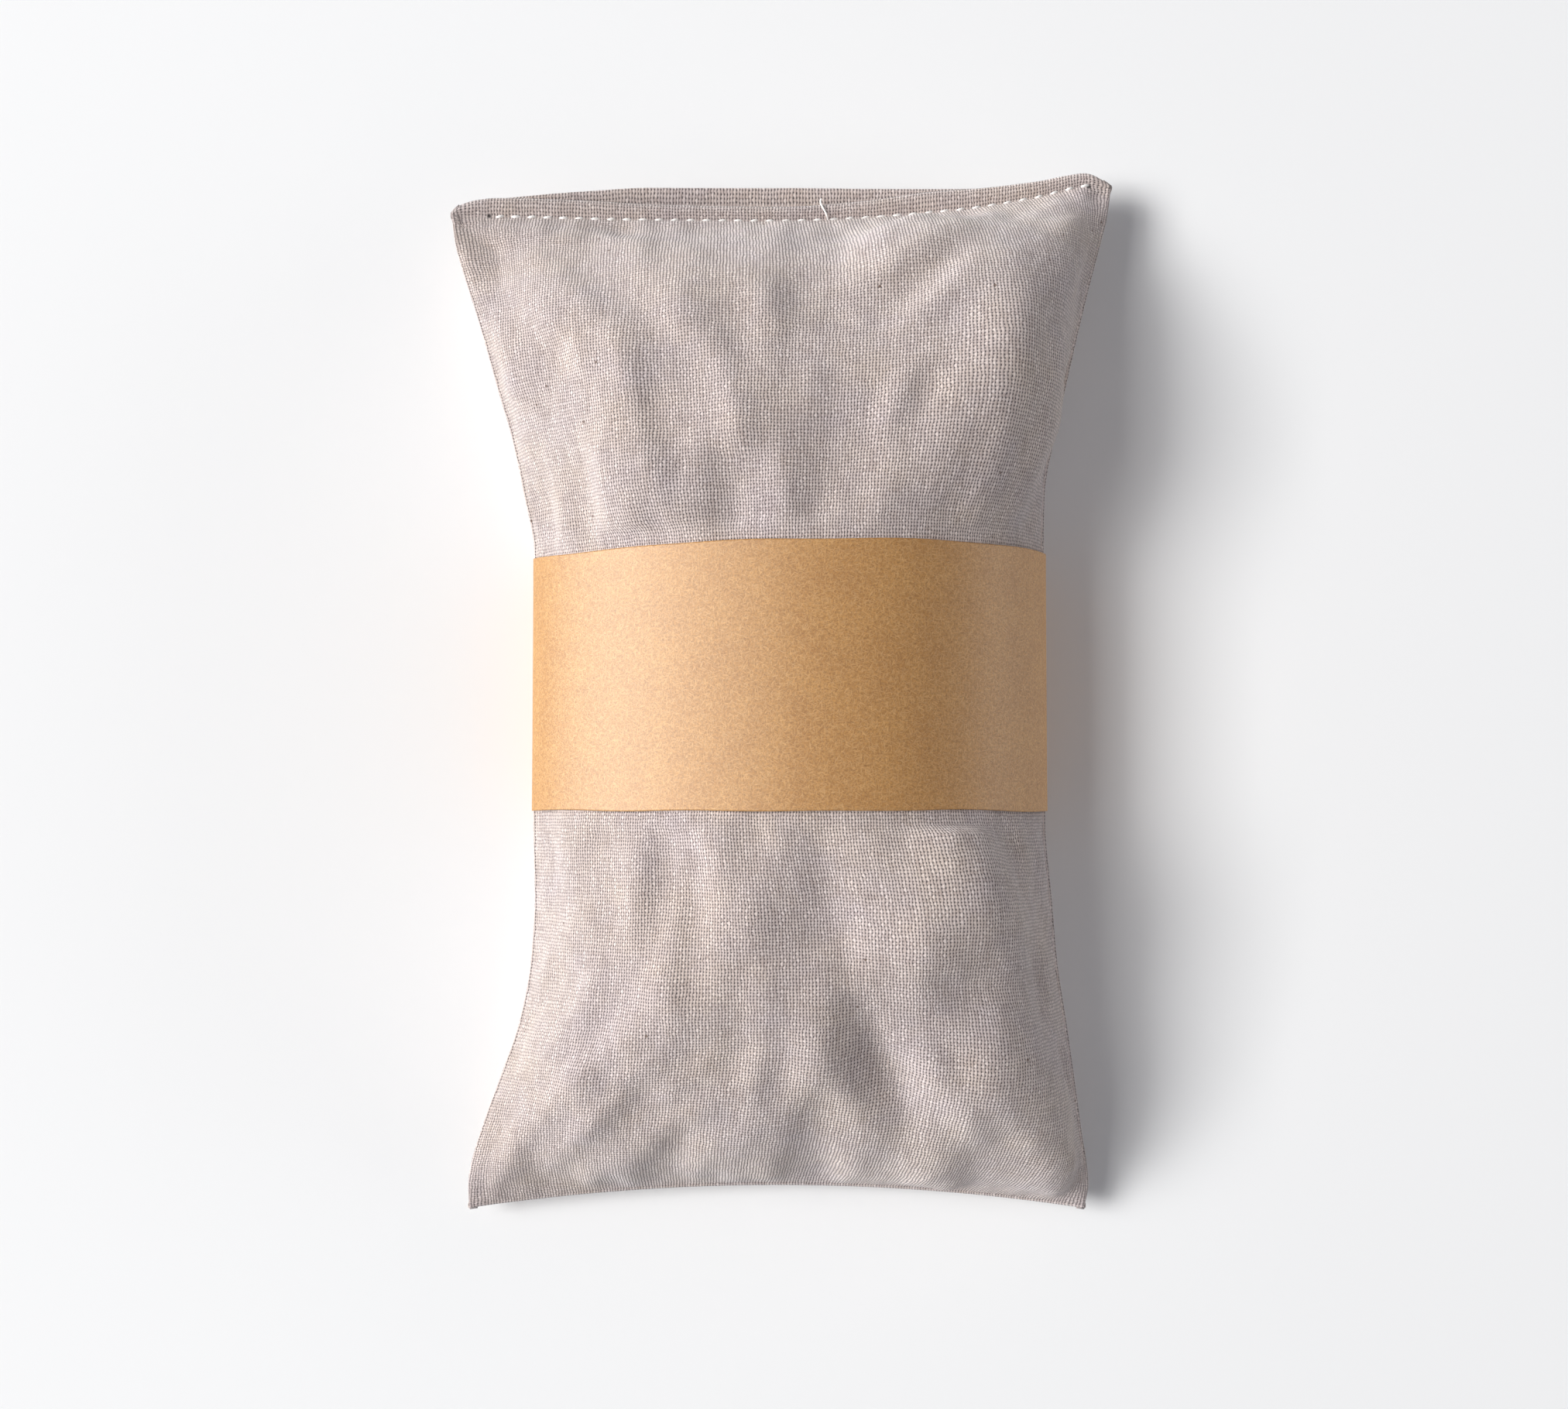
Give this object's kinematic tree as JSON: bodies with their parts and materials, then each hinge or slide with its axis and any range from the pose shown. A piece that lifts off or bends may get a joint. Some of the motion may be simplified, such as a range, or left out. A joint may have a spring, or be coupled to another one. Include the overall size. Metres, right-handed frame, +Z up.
{
  "type": "lavender sachet",
  "caption": "Pillow-shaped cotton sachet of dried lavender, topstitched shut along its mouth and drawn in by a slide-off kraft paper belly band.",
  "frame": {"origin": "on the table, under the middle of the pouch as it lies on its back", "axes": "+Y towards the sewn mouth, +X to the right seen from above with the mouth at the top, +Z up through the front panel"},
  "size_m": [0.091, 0.1424, 0.0337],
  "materials": {
    "cotton": "matte",
    "cotton_thread": "matte",
    "dried_buds": "matte",
    "kraft_paper": "matte",
    "dry_glue": "satin"
  },
  "bodies": {
    "pouch": {"front_panel": "cotton", "back_panel": "cotton", "lavender_filling": "dried_buds", "seam_needle_thread": "cotton_thread", "seam_bobbin_thread": "cotton_thread", "closing_needle_thread": "cotton_thread", "closing_bobbin_thread": "cotton_thread", "thread_tail": "cotton_thread"},
    "band": {"belly_band": "kraft_paper", "band_adhesive": "dry_glue"}
  },
  "joints": [
    {"name": "band_slide", "type": "slide", "parent": "pouch", "child": "band", "axis": [0, 1, 0], "range_m": [-0.092, 0.09], "deforming": ["belly_band", "band_adhesive"]}
  ]
}
